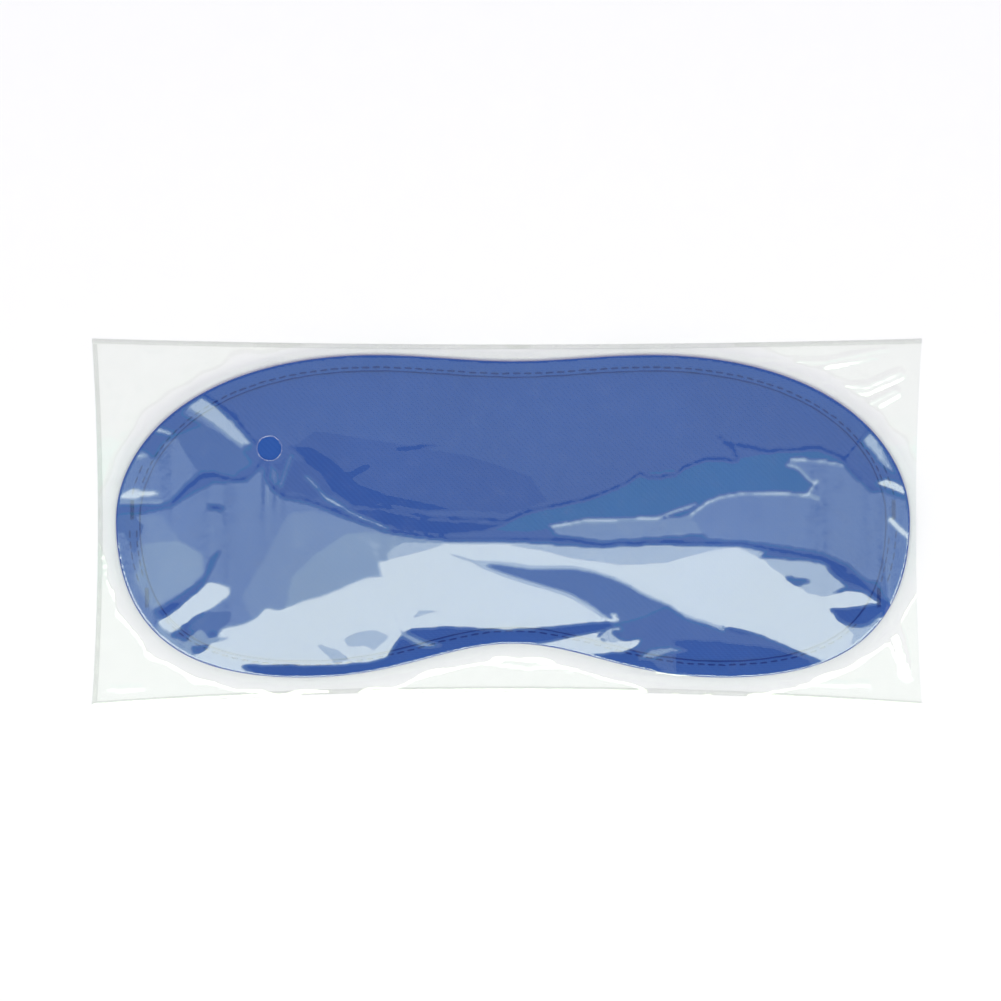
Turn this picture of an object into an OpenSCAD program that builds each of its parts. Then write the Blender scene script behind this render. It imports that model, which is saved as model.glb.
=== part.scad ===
// Padded sleep mask with two elastic straps, lying in a clear film bag that is open at its +X end.
// Frame: +X towards the bag's mouth, +Y towards the forehead edge of the mask, +Z up.
// The origin is at the middle of the bag, on the face that the bag lies on.

/* [Mask] */
// Half of the mask's width, from the middle to either end
mask_half_w = 99.25; // [90:0.25:105]
// Height of the forehead edge above the line through the two ends
forehead_h = 42.1; // [38:0.1:42.4]
// Depth of the lobes below the line through the two ends
cheek_h = 40.8; // [36:0.1:41.2]
// How far the forehead edge dips in the middle
forehead_dip = 3; // [1:0.1:6]
// How far the nose notch rises above the lobes
notch_depth = 9.4; // [4:0.1:16]
// Thickness of the foam in the middle of the mask
foam_t = 2; // [1.2:0.1:2]

/* [Edge binding] */
// Width of the tape's lips along the long edges
binding_w = 3.9; // [3:0.1:6]
// How much wider the lips are at the two ends
binding_end_extra = 2; // [0:0.1:3]
// Distance from one stitch to the next
stitch_pitch = 2.7; // [2:0.1:4]

/* [Straps] */
// Width of each elastic strap
strap_w = 6; // [4:0.5:8]
// Height of the upper strap's two sewn ends
upper_strap_y = 2; // [-2:0.5:6]
// Height of the lower strap's two sewn ends
lower_strap_y = -20; // [-22:0.5:-14]
// Rise of the upper strap's slack bow
upper_strap_bow = 12; // [4:0.5:16]
// Rise of the lower strap's slack bow
lower_strap_bow = 7; // [4:0.5:10]

/* [Bag] */
// Length of the bag from corner to corner
bag_l = 207.5; // [207:0.5:214]
// Width of the bag from corner to corner
bag_w = 92; // [92:0.5:98]
// Free height inside the bag over the middle of the mask
bag_room = 4.7; // [4.6:0.1:7]
// Diameter of the vent hole through both films
vent_d = 6; // [4:0.5:8]

/* [Hidden] */

// Sheet thicknesses and the clearance between the mask and the bag
film_t = 0.1;
fabric_t = 0.15;
tape_t = 0.25;
strap_t = 0.6;
thread_t = 0.1;
rim_foam_t = 0.5;
clearance = 0.3;

// Levels of the mask's layers, from the back of the straps to the crown of the cover
z_back_thread = film_t + clearance;
z_strap = z_back_thread + thread_t;
z_tape = z_strap + strap_t;
z_lining = z_tape + tape_t;
z_foam = z_lining + fabric_t;
z_cover_rim = z_foam + rim_foam_t;
z_lip = z_cover_rim + fabric_t;
z_tape_top = z_lip + tape_t;
z_foam_top = z_foam + foam_t;
z_cover_top = z_foam_top + fabric_t;

// Where the mask lies in the bag
mask_x = 1.5;
mask_y = 1.2;

// Powers that set how full the outline's shoulders and lobes are
forehead_power = 3.4;
forehead_root = 0.53;
cheek_power = 6;
cheek_root = 0.455;
// Reach of the forehead dip and of the nose notch along the edge
dip_reach = 30;
notch_reach = 30;
// Angle between the outline's finest points, and how far the crown stands in from the binding
outline_step = 1.5;
crown_inset = 0.4;

// Stitches and bartacks
stitch_w = 0.45;
stitch_share = 0.72;
stitch_inset = 0.8;
strap_end_inset = 2.2;
bartack_w = 1.2;
bartack_l = 5.2;
bartack_inset = 4;
// How far in from the mask's ends the stitches give way to a strap, and the height that they leave free
strap_zone = 12;
strap_gap = 6;
bartack_gap = 5;
// The second row of stitches at each end of the mask
end_row_inset = 3.4;
end_row_top = 13;
end_row_bottom = -24;

// How far the bag's edges pull in between its corners
pull_in_ends = 1.5;
pull_in_top = 1.5;
pull_in_bottom = 3.8;
seal_w = 1.2;
vent_pos = [-59.3, 18.5];
// Share of the bag's half length over which the film comes down to the closed end
closed_taper = 0.2;
// How square the film's cross-section and its closed end are
section_power = 5;
taper_power = 3;
// Flat strips across the front film, and how far its cutting solids run past it
strips = 20;
spare = 2;

// ---------- outline of the mask ----------

function bell(x, reach) = exp(-pow(x / reach, 2));
function fullness(x, power, root) = pow(max(0, 1 - pow(abs(x) / mask_half_w, power)), root);
function forehead_edge(x) =
    forehead_h * fullness(x, forehead_power, forehead_root) - forehead_dip * bell(x, dip_reach);
function cheek_edge(x) =
    -cheek_h * fullness(x, cheek_power, cheek_root) + notch_depth * bell(x, notch_reach);

// The outline as many points, from the left end over the forehead to the right end and back
fine_outline = concat(
    [for (a = [-90 : outline_step : 90]) let (x = mask_half_w * sin(a)) [x, forehead_edge(x)]],
    [for (a = [90 - outline_step : -outline_step : -90]) let (x = mask_half_w * sin(a)) [x, cheek_edge(x)]]);

// Length along the outline at each of those points
function run_lengths(p) = [for (i = 0, s = 0; i < len(p);
    s = s + (i + 1 < len(p) ? norm(p[i + 1] - p[i]) : 0), i = i + 1) s];
fine_lengths = run_lengths(fine_outline);
outline_length = fine_lengths[len(fine_lengths) - 1];
stitch_count = round(outline_length / stitch_pitch);

// The outline again, with one point for each stitch
x_along = [for (i = [0 : len(fine_outline) - 1]) [fine_lengths[i], fine_outline[i][0]]];
y_along = [for (i = [0 : len(fine_outline) - 1]) [fine_lengths[i], fine_outline[i][1]]];
mask_outline = [for (i = [0 : stitch_count - 1])
    let (s = outline_length * i / stitch_count) [lookup(s, x_along), lookup(s, y_along)]];

function next_to(p, i, step) = p[(i + step + len(p)) % len(p)];
function inward(p, i) = let (d = next_to(p, i, 1) - next_to(p, i, -1)) [d[1], -d[0]] / norm(d);
// The outline moved inwards by a distance that can grow towards the two ends
function inset(distance, extra = 0) = [for (i = [0 : len(mask_outline) - 1])
    let (p = mask_outline[i])
    p + inward(mask_outline, i) * (distance + extra * pow(p[0] / mask_half_w, cheek_power))];

core_outline = inset(tape_t);
window_outline = inset(binding_w, binding_end_extra);
crown_outline = inset(binding_w + crown_inset, binding_end_extra);
foam_crown_outline = inset(binding_w + crown_inset + fabric_t, binding_end_extra);
stitch_line = inset(binding_w - stitch_inset, binding_end_extra);

module slab(points, low, high) translate([mask_x, mask_y, low]) linear_extrude(high - low) polygon(points);

// ---------- the mask ----------

module front_cover() color("royalblue") difference() {
    union() {
        slab(core_outline, z_cover_rim, z_lip);
        slab(crown_outline, z_cover_rim, z_cover_top);
    }
    slab(foam_crown_outline, z_cover_rim - 1, z_foam_top);
}

module foam_pad() color("whitesmoke") union() {
    slab(core_outline, z_foam, z_cover_rim);
    slab(foam_crown_outline, z_foam, z_foam_top);
}

module back_lining() color("royalblue") slab(core_outline, z_lining, z_foam);

// A tape folded round the edge: two lips joined by the fold
module edge_binding() color("mediumblue") difference() {
    slab(mask_outline, z_tape, z_tape_top);
    slab(core_outline, z_lining, z_lip);
    slab(window_outline, z_tape - 1, z_tape_top + 1);
}

// One stitch from p towards q, on the level z
module stitch(p, q, z) let (d = q - p)
    translate([mask_x + p[0], mask_y + p[1], z]) rotate([0, 0, atan2(d[1], d[0])])
        translate([0, -stitch_w / 2, 0]) cube([stitch_share * norm(d), stitch_w, thread_t]);

// True for a point at either end of the mask that is within a gap of one of the two straps
function near_strap(p, gap) = abs(p[0]) > mask_half_w - strap_zone
    && min(abs(p[1] - upper_strap_y), abs(p[1] - lower_strap_y)) < gap;

// The row of stitches that holds the binding, on the level z
module binding_stitches(gap, z)
    for (i = [0 : len(stitch_line) - 1])
        if (!near_strap(stitch_line[i], gap)) stitch(stitch_line[i], next_to(stitch_line, i, 1), z);

module needle_thread() color("navy") binding_stitches(bartack_gap, z_tape_top);
module bobbin_thread() color("navy") binding_stitches(strap_gap, z_tape - thread_t);

// Distance of the mask's end from its middle, at height y
function end_x(y) = mask_half_w * (y > 0
    ? pow(1 - pow(y / forehead_h, 1 / forehead_root), 1 / forehead_power)
    : pow(1 - pow(-y / cheek_h, 1 / cheek_root), 1 / cheek_power));
function end_row(side, y) = [side * (end_x(y) - end_row_inset), y];

// The second row of stitches on the binding at one end
module end_stitching(side) color("navy")
    for (y = [end_row_top : -stitch_pitch : end_row_bottom])
        if (!near_strap([side * mask_half_w, y], bartack_gap))
            stitch(end_row(side, y), end_row(side, y - stitch_pitch), z_tape_top);

module left_end_stitching() end_stitching(-1);
module right_end_stitching() end_stitching(1);

// A flat elastic whose slack lies in one shallow arc between its two sewn ends
module strap(y_end, bow) color("dimgray")
    let (half = min(end_x(y_end - strap_w / 2), end_x(y_end + strap_w / 2)) - strap_end_inset,
         radius = (half * half + bow * bow) / (2 * bow),
         reach = asin(half / radius),
         steps = 24,
         arc = function (r) [for (i = [-steps : steps]) let (a = reach * i / steps)
             [r * sin(a), y_end + bow - radius + r * cos(a)]],
         outer = arc(radius + strap_w / 2),
         inner = arc(radius - strap_w / 2))
        slab(concat(outer, [for (i = [len(inner) - 1 : -1 : 0]) inner[i]]), z_strap, z_tape);

module upper_strap() strap(upper_strap_y, upper_strap_bow);
module lower_strap() strap(lower_strap_y, lower_strap_bow);

// Dense thread through a strap's end: a pad on the strap and one on the front of the binding
module bartack(side, y) color("navy")
    for (z = [z_back_thread, z_tape_top])
        translate([mask_x + side * (end_x(y) - bartack_inset), mask_y + y, z + thread_t / 2])
            cube([bartack_w, bartack_l, thread_t], center = true);

module left_upper_bartack() bartack(-1, upper_strap_y);
module left_lower_bartack() bartack(-1, lower_strap_y);
module right_upper_bartack() bartack(1, upper_strap_y);
module right_lower_bartack() bartack(1, lower_strap_y);

// ---------- the bag ----------

// A point of the flat bag: a and b run from -1 to 1 between its edges, which pull in between the corners
function bag_point(a, b) = [
    a * (bag_l / 2 - pull_in_ends * (1 - b * b)),
    b * (bag_w / 2 - (b > 0 ? pull_in_top : pull_in_bottom) * (1 - a * a))];

seal_b = 1 - seal_w / (bag_w / 2);
fold_a = 1 - seal_w / (bag_l / 2);

// The part of the flat bag between two values of a and two of b, with n points to a side
function bag_region(a0, a1, b0, b1, n = 20) = concat(
    [for (i = [0 : n]) bag_point(a0 + (a1 - a0) * i / n, b0)],
    [for (i = [1 : n]) bag_point(a1, b0 + (b1 - b0) * i / n)],
    [for (i = [1 : n]) bag_point(a1 + (a0 - a1) * i / n, b1)],
    [for (i = [1 : n - 1]) bag_point(a0, b1 + (b0 - b1) * i / n)]);

function bow_curve(t, power) = pow(max(0, 1 - pow(t, power)), 1 / power);

// Cross-section of the space under the front film, grown by t
function section(t) = let (half = bag_w / 2 - seal_w + t) concat(
    [[half, -spare], [-half, -spare]],
    [for (j = [0 : strips]) let (v = sin(180 * j / strips - 90))
        [v * half, film_t + (bag_room + t) * bow_curve(abs(v), section_power)]]);

// Side view of the same space, which comes down in a round nose to the closed end
function side_view(t) = let (start = -bag_l / 2 + seal_w - t, nose = closed_taper * bag_l / 2) concat(
    [[bag_l, -spare], [start, -spare]],
    [for (i = [0 : strips / 2]) let (u = 1 - cos(180 * i / strips))
        [start + u * nose, film_t + (bag_room + t) * bow_curve(1 - u, taper_power)]],
    [[bag_l, film_t + bag_room + t]]);

// The space under the front film, grown by t, from the level low up and as far as a = reach
module film_space(t, low, reach) intersection() {
    rotate([90, 0, 90]) linear_extrude(2 * bag_l, center = true) polygon(section(t));
    rotate([90, 0, 0]) linear_extrude(2 * bag_w, center = true) polygon(side_view(t));
    let (edge_b = seal_b + t / (bag_w / 2))
        translate([0, 0, low]) linear_extrude(bag_room + spare)
            polygon(bag_region(-fold_a - t / (bag_l / 2), reach, -edge_b, edge_b));
}

module vent()
    translate([vent_pos[0], vent_pos[1], -spare]) cylinder(d = vent_d, h = bag_room + 3 * spare, $fn = 48);

module bag_front_film() color("white", 0.3) difference() {
    film_space(film_t, film_t, 1);
    film_space(0, film_t - spare, 1 + spare / bag_l);
    vent();
}

module bag_back_film() color("white", 0.3) difference() {
    linear_extrude(film_t) polygon(bag_region(-1, 1, -1, 1));
    vent();
}

module weld(a0, a1, b0, b1) color("white", 0.5)
    translate([0, 0, film_t]) linear_extrude(film_t) polygon(bag_region(a0, a1, b0, b1));

foot_b = seal_b + film_t / (bag_w / 2);
foot_a = fold_a + film_t / (bag_l / 2);
module bag_upper_seal() weld(-foot_a, 1, foot_b, 1);
module bag_lower_seal() weld(-foot_a, 1, -1, -foot_b);
module bag_end_fold() weld(-1, -foot_a, -1, 1);

front_cover();
foam_pad();
back_lining();
edge_binding();
needle_thread();
bobbin_thread();
left_end_stitching();
right_end_stitching();
upper_strap();
lower_strap();
left_upper_bartack();
left_lower_bartack();
right_upper_bartack();
right_lower_bartack();
bag_front_film();
bag_back_film();
bag_upper_seal();
bag_lower_seal();
bag_end_fold();
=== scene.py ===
import math

import bpy
import numpy as np
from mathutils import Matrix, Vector
from mathutils.geometry import delaunay_2d_cdt


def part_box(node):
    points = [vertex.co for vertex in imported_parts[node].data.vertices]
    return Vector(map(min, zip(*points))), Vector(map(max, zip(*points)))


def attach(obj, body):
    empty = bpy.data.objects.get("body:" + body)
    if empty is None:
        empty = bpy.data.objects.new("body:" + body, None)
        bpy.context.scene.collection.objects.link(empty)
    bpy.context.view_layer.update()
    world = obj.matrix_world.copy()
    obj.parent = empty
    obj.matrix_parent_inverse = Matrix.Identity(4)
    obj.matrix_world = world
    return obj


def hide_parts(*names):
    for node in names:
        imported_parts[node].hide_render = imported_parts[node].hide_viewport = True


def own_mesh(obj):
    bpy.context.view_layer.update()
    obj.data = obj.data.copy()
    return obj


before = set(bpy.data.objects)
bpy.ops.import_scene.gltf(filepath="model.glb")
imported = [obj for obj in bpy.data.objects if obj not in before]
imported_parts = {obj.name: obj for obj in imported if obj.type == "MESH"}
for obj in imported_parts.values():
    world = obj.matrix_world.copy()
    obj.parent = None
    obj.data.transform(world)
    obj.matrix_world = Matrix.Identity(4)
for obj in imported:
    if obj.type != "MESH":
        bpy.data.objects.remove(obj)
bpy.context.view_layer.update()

MM = 0.001
UP = np.array([0.0, 0.0, 1.0])
rng = np.random.default_rng(7)

# ---------- places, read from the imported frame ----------


def cad_vertices(node):
    """A CAD node's vertices in millimetres, and its faces, with coincident vertices joined."""
    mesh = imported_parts[node].data
    points = np.round(np.array([v.co[:] for v in mesh.vertices]) / MM, 3)
    points, index = np.unique(points, axis=0, return_inverse=True)
    index = index.reshape(-1).tolist()
    return points, [[index[i] for i in face.vertices] for face in mesh.polygons]


def border_edges(faces):
    """The directed edges that only one face has."""
    border = set()
    for face in faces:
        for a, b in zip(face, face[1:] + face[:1]):
            if (b, a) in border:
                border.remove((b, a))
            else:
                border.add((a, b))
    return border


def cad_outline(node):
    """The outer edge of a flat CAD node, seen from above, as points in order."""
    points, faces = cad_vertices(node)
    top = points[:, 2].max() - 0.01
    follows = dict(border_edges(face for face in faces if min(points[i, 2] for i in face) >= top))
    loops = []
    while follows:
        first, here = next(iter(follows.items()))
        del follows[first]
        loop = [first]
        while here != first:
            loop.append(here)
            here = follows.pop(here)
        loops.append(points[loop][:, :2])
    return max(loops, key=lambda loop: np.ptp(loop[:, 0]))


def cad_parts(node):
    """The separate solids of a CAD node, as arrays of their corners."""
    points, faces = cad_vertices(node)
    root = list(range(len(points)))

    def find(i):
        while root[i] != i:
            root[i] = root[root[i]]
            i = root[i]
        return i

    for face in faces:
        for i in face[1:]:
            root[find(i)] = find(face[0])
    group = np.array([find(i) for i in range(len(points))])
    return [points[group == g] for g in np.unique(group)]


def extent(node):
    """The lowest and the highest corner of a CAD node in millimetres."""
    return np.array(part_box(node)) / MM


def level(node, end):
    """The lowest (end 0) or highest (end 1) level of a CAD node in millimetres."""
    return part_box(node)[end][2] / MM


MASK_LOW, MASK_HIGH = extent("edge_binding")
BAG_LOW, BAG_HIGH = extent("bag_back_film")
MASK_MID = (MASK_LOW + MASK_HIGH) / 2
MASK_HALF = (MASK_HIGH[0] - MASK_LOW[0]) / 2
BAG_L, BAG_W = (BAG_HIGH - BAG_LOW)[:2]

# Dimensions that the CAD model gives its pieces, in millimetres
BINDING_W, BINDING_END_EXTRA, END_POWER = 3.9, 2.0, 6
STITCH_INSET = 0.8
TAPE_T, FABRIC_T = 0.25, 0.15
PULL_ENDS, PULL_TOP, PULL_BOTTOM = 1.5, 1.5, 3.8  # how far the bag's edges are drawn in at mid-length
SEAL_W = 1.2
VENT_AT, VENT_R = np.array([-59.3, 18.5]), 3.0
STRAP_BOWS = {"upper_strap": 12, "lower_strap": 7}  # rise of each strap's arc
STRAP_W = 6

LIP_LOW = level("front_cover", 0) + FABRIC_T  # the front fabric's upper face, under the binding's lip
LIP_TOP = level("edge_binding", 1)
TAPE_LOW = level("edge_binding", 0)


def bag_point(a, b):
    """A point of the flat bag: a and b run from -1 to 1 between its edges."""
    pull = np.where(b > 0, PULL_TOP, PULL_BOTTOM)
    return a * (BAG_L / 2 - PULL_ENDS * (1 - b**2)), b * (BAG_W / 2 - pull * (1 - a**2))


def around(count):
    """Evenly spaced angles round a circle."""
    return 2 * math.pi * np.arange(count) / count


def units(vectors):
    """Each vector scaled to a length of one."""
    return vectors / np.maximum(np.linalg.norm(vectors, axis=1), 1e-9)[:, None]


def run_along(points):
    """The distance along a polyline to each of its points."""
    return np.concatenate([[0], np.cumsum(np.linalg.norm(np.diff(points, axis=0), axis=1))])


def resampled(loop, count, closed=True):
    """A given number of evenly spaced points along a polyline."""
    points = np.vstack([loop, loop[:1]]) if closed else np.asarray(loop, float)
    run = run_along(points)
    at = np.linspace(0, run[-1], count + 1)[:-1] if closed else np.linspace(0, run[-1], count)
    return np.stack([np.interp(at, run, points[:, k]) for k in range(points.shape[1])], axis=1)


def inward_normals(loop):
    """Unit vectors that point from a closed loop to its inside."""
    along = units(np.roll(loop, -1, axis=0) - np.roll(loop, 1, axis=0))
    turned = np.stack([along[:, 1], -along[:, 0]], axis=1)
    area = np.sum(loop[:, 0] * np.roll(loop[:, 1], -1) - np.roll(loop[:, 0], -1) * loop[:, 1])
    return turned if area < 0 else -turned


def smoothed(loop, times):
    """A closed loop with each point moved towards its neighbours, so many times."""
    for _ in range(times):
        loop = loop / 2 + (np.roll(loop, 1, axis=0) + np.roll(loop, -1, axis=0)) / 4
    return loop


def grid_points(x, y):
    return np.column_stack([x.ravel(), y.ravel()])


def inside(points, polygon):
    """True for each point that lies in the polygon."""
    x, y = points[:, 0], points[:, 1]
    hit = np.zeros(len(points), bool)
    for (x0, y0), (x1, y1) in zip(polygon, np.roll(polygon, -1, axis=0)):
        if y0 != y1:
            hit ^= ((y0 > y) != (y1 > y)) & (x < (x1 - x0) * (y - y0) / (y1 - y0) + x0)
    return hit


def distance_to(points, line, closed=False):
    """Distance from each point to a polyline."""
    line = np.asarray(line, float)
    ends = np.roll(line, -1, axis=0) if closed else line[1:]
    best = np.full(len(points), 1e9)
    for p, q in zip(line, ends):
        d = q - p
        t = np.clip((points - p) @ d / max(d @ d, 1e-12), 0, 1)
        best = np.minimum(best, np.linalg.norm(points - p - t[:, None] * d, axis=1))
    return best


def binding_width(x):
    """The width of the binding's lip, which grows towards the mask's two ends."""
    return BINDING_W + BINDING_END_EXTRA * (np.abs(x - MASK_MID[0]) / MASK_HALF) ** END_POWER


# ---------- mesh building ----------


def placed(name, data):
    """A new object in the scene."""
    obj = bpy.data.objects.new(name, data)
    bpy.context.scene.collection.objects.link(obj)
    return obj


def mesh_object(name, points, faces):
    """A new mesh object in the scene, from points in metres."""
    mesh = bpy.data.meshes.new(name)
    mesh.from_pydata(np.asarray(points).tolist(), [], [list(map(int, face)) for face in faces])
    return placed(name, mesh)


def evaluated(obj):
    """The object's mesh with its modifiers applied."""
    return obj.evaluated_get(bpy.context.evaluated_depsgraph_get()).to_mesh()


def piece(name, points, faces, material, body, node, replaces=True):
    """A smooth piece from points in millimetres, which hides the CAD node that it replaces, unless replaces
    is false.
    """
    obj = mesh_object(name, np.asarray(points) * MM, faces)
    obj.data.shade_smooth()
    obj.data.materials.append(material)
    obj.data.validate()
    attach(obj, body)
    if replaces:
        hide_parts(node)
    return obj


def skin(rings, closed=False, caps=False):
    """The points and faces of a skin over rings of points. rings has the shape (rings, points, 3)."""
    n, m, _ = rings.shape
    faces = []
    for i in range(n if closed else n - 1):
        low, high = i * m, (i + 1) % n * m
        for j in range(m):
            k = (j + 1) % m
            faces.append((low + j, low + k, high + k, high + j))
    if caps:
        faces.append(tuple(range(m - 1, -1, -1)))
        faces.append(tuple(range((n - 1) * m, n * m)))
    return rings.reshape(-1, 3), faces


def joined(parts):
    """Several (points, faces) as one."""
    points, faces, start = [], [], 0
    for p, f in parts:
        points.append(p)
        faces += [tuple(start + i for i in face) for face in f]
        start += len(p)
    return np.vstack(points), faces


def tube(path, radius, sides=8):
    """A round tube along a path, tapered to its two ends."""
    along = units(np.gradient(path, axis=0))
    side = units(np.cross(along, UP))
    over = np.cross(side, along)
    t = np.linspace(-1, 1, len(path))
    r = radius * np.sqrt(np.clip(1.04 - t**8, 0.04, 1))
    turn = around(sides)
    rings = path[:, None] + side[:, None] * (r[:, None] * np.cos(turn))[..., None]
    rings = rings + over[:, None] * (r[:, None] * np.sin(turn))[..., None]
    return skin(rings, caps=True)


# ---------- materials ----------


class Nodes:
    """Adds linked nodes to a new material, or to a new world."""

    def __init__(self, name, world=False):
        self.owner = (bpy.data.worlds if world else bpy.data.materials).new(name)
        self.owner.use_nodes = True
        self.tree = self.owner.node_tree
        self.tree.nodes.clear()
        self.output = self.add("OutputWorld" if world else "OutputMaterial")

    def add(self, kind, inputs=None, **settings):
        node = self.tree.nodes.new("ShaderNode" + kind)
        for key, value in settings.items():
            setattr(node, key, value)
        for key, value in (inputs or {}).items():
            if isinstance(value, bpy.types.NodeSocket):
                self.tree.links.new(value, node.inputs[key])
            else:
                node.inputs[key].default_value = value
        return node

    def math(self, operation, a, b):
        return self.add("Math", {0: a, 1: b}, operation=operation).outputs[0]

    def scaled(self, value, by, plus=0.0):
        """value * by + plus."""
        return self.add("Math", {0: value, 1: by, 2: plus}, operation="MULTIPLY_ADD").outputs[0]

    def mix(self, factor, dark, light):
        inputs = {0: factor, 6: colour(*dark), 7: colour(*light)}
        return self.add("Mix", inputs, data_type="RGBA").outputs[2]

    def where(self):
        return self.add("TexCoord").outputs["Object"]

    def noise(self, scale, detail=3.0, rough=0.5):
        inputs = {"Vector": self.where(), "Scale": scale, "Detail": detail, "Roughness": rough}
        return self.add("TexNoise", inputs).outputs["Fac"]

    def waves(self, pitch_mm, direction, distortion=0.0):
        """Bands with a given pitch, from 0 to 1."""
        scale = 2 * math.pi / (20 * pitch_mm * MM)
        inputs = {"Vector": self.where(), "Scale": scale, "Distortion": distortion, "Detail": 1.0}
        return self.add("TexWave", inputs, bands_direction=direction).outputs["Fac"]

    def bump(self, height, strength, depth_mm):
        inputs = {"Height": height, "Strength": strength, "Distance": depth_mm * MM}
        return self.add("Bump", inputs).outputs["Normal"]

    def finish(self, kind, inputs):
        """Adds the last shader and returns the material or world."""
        shader = self.add(kind, inputs).outputs[0]
        self.tree.links.new(shader, self.output.inputs["Surface"])
        return self.owner


def colour(r, g, b):
    return (r, g, b, 1.0)


def woven(name, dark, light, pitch_mm, rough, diagonal=0.5):
    """A tightly woven polyester: threads both ways, a twill line, slow colour change and a soft sheen."""
    n = Nodes(name)
    threads = n.math("MULTIPLY", n.waves(pitch_mm, "X", 0.4), n.waves(pitch_mm, "Y", 0.4))
    twill = n.waves(pitch_mm * 1.45, "DIAGONAL", 0.6)
    weave = n.scaled(twill, diagonal, threads)
    slow = n.noise(28, 4)
    fine = n.noise(900, 2)
    shade = n.scaled(fine, 0.12, n.scaled(slow, 0.65, n.scaled(weave, 0.3)))
    return n.finish("BsdfPrincipled", {
        "Base Color": n.mix(shade, dark, light),
        "Roughness": n.scaled(fine, 0.18, rough),
        "Sheen Weight": 0.04,
        "Sheen Roughness": 0.4,
        "Sheen Tint": colour(0.4, 0.6, 1.0),
        "Specular IOR Level": 0.12,
        "Normal": n.bump(weave, 0.3, 0.03),
    })


def thread_material(name, dark, light):
    """Twisted sewing thread with plies that catch the light."""
    n = Nodes(name)
    twist = n.waves(0.34, "DIAGONAL", 0.3)
    return n.finish("BsdfPrincipled", {
        "Base Color": n.mix(n.scaled(n.noise(400), 0.4, n.scaled(twist, 0.5)), dark, light),
        "Roughness": n.scaled(twist, 0.2, 0.5),
        "Specular IOR Level": 0.05,
        "Normal": n.bump(twist, 0.6, 0.05),
    })


def foam_material():
    """Open-cell polyurethane foam, off-white and pitted."""
    n = Nodes("foam")
    cells = n.add("TexVoronoi", {"Vector": n.where(), "Scale": 1500.0}).outputs["Distance"]
    pitted = n.scaled(n.noise(60), 0.5, n.scaled(cells, 0.6))
    base = n.mix(pitted, (0.62, 0.60, 0.54), (0.86, 0.85, 0.81))
    surface = {"Base Color": base, "Roughness": 0.95, "Normal": n.bump(cells, 0.8, 0.2)}
    return n.finish("BsdfPrincipled", surface)


def elastic_material():
    """Black braided elastic: short slanted yarns between the rubber cords."""
    n = Nodes("elastic")
    yarns = n.math("MULTIPLY", n.waves(0.7, "X", 1.2), n.waves(0.9, "DIAGONAL", 0.8))
    shade = n.scaled(n.noise(300), 0.5, n.scaled(yarns, 0.6))
    return n.finish("BsdfPrincipled", {
        "Base Color": n.mix(shade, (0.008, 0.008, 0.010), (0.045, 0.045, 0.052)),
        "Roughness": n.scaled(yarns, -0.2, 0.75),
        "Sheen Weight": 0.15,
        "Normal": n.bump(yarns, 0.6, 0.08),
    })


def film_material(name, gloss, through, haze, rough, mist_grey=0.88):
    """Clear polypropylene film: see-through, with a mirror gloss that grows at low angles.

    gloss is the share of light that the film reflects straight on."""
    n = Nodes(name)
    clear = n.add("BsdfTransparent", {"Color": colour(through, through, through)})
    scuffs = n.math("POWER", n.noise(220, 6, 0.7), 5.0)
    mirror = n.add("BsdfGlossy", {
        "Color": colour(1, 1, 1),
        "Roughness": n.scaled(scuffs, 0.35, rough),
        "Normal": n.bump(n.noise(500, 2), 0.12, 0.02),
    })
    mist = n.add("BsdfDiffuse", {"Color": colour(mist_grey * 0.97, mist_grey, mist_grey * 1.02)})
    hazy = n.scaled(scuffs, 0.1, haze)
    body = n.add("MixShader", {0: hazy, 1: clear.outputs[0], 2: mist.outputs[0]})
    slant = n.add("LayerWeight", {"Blend": 0.5}).outputs["Facing"]
    share = n.scaled(n.math("POWER", slant, 5.0), 1 - gloss, gloss)
    return n.finish("MixShader", {0: share, 1: body.outputs[0], 2: mirror.outputs[0]})


def table_material():
    """Matt white card with a faint grain."""
    n = Nodes("table")
    base = n.mix(n.noise(150, 5), (0.94, 0.94, 0.94), (0.96, 0.96, 0.96))
    return n.finish("BsdfPrincipled", {"Base Color": base, "Roughness": 0.9, "Specular IOR Level": 0.1})


CLOTH = woven("mask_cloth", (0.014, 0.063, 0.28), (0.029, 0.109, 0.42), pitch_mm=0.5, rough=0.5)
TAPE = woven("binding_cloth", (0.015, 0.067, 0.29), (0.030, 0.115, 0.43), 0.55, 0.5, diagonal=0.3)
THREAD = thread_material("navy_thread", (0.006, 0.030, 0.19), (0.012, 0.058, 0.30))
FOAM = foam_material()
ELASTIC = elastic_material()
FILM = film_material("clear_film", gloss=0.076, through=0.994, haze=0.002, rough=0.02)
WELD = film_material("welded_film", gloss=0.02, through=0.994, haze=0.04, rough=0.12, mist_grey=0.85)

# ---------- camera, table and lights ----------

VIEW_AT = np.array([-1.6, 5.5])
VIEW_FIELD = 250.25  # width of the picture on the table, in millimetres
SENSOR = 36
CAMERA_H = 4000
LIGHT_H = 1600
GLARE_Y = -30  # on this line of the film the lean is nothing, and the lights are set out from it


def add_camera():
    camera = bpy.data.cameras.new("camera")
    camera.sensor_width = SENSOR
    camera.lens = SENSOR * CAMERA_H / VIEW_FIELD
    camera.clip_start, camera.clip_end = 0.01, 50
    obj = placed("camera", camera)
    obj.location = Vector((VIEW_AT[0], VIEW_AT[1], CAMERA_H)) * MM
    bpy.context.scene.camera = obj


def add_table():
    half, drop = 2.5, 0.00005
    corners = [(x * half, y * half, -drop) for x, y in ((-1, -1), (1, -1), (1, 1), (-1, 1))]
    obj = mesh_object("table", corners, [(0, 1, 2, 3)])
    obj.data.materials.append(table_material())


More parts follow.
